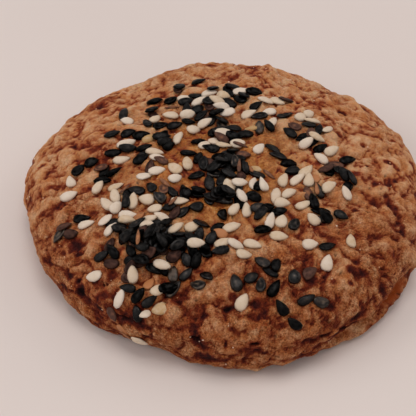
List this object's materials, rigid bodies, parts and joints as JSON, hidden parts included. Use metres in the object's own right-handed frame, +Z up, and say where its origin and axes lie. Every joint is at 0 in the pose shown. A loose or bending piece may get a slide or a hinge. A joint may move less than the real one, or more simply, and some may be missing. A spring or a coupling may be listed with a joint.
{
  "type": "sesame cookie",
  "caption": "Thick round baked cookie, domed on top and flat below, sprinkled with black and white sesame seeds.",
  "frame": {"origin": "middle of the biscuit's box, on the flat underside that it rests on", "axes": "+Z up through the domed top; the near side of the biscuit, with the split at its right, faces -Y"},
  "size_m": [0.074, 0.0722, 0.0153],
  "materials": {
    "crust": "browned baked dough, matt and sandy, slightly glazed in the middle of the top"
  },
  "bodies": {
    "root": {"biscuit": "crust"}
  },
  "joints": []
}
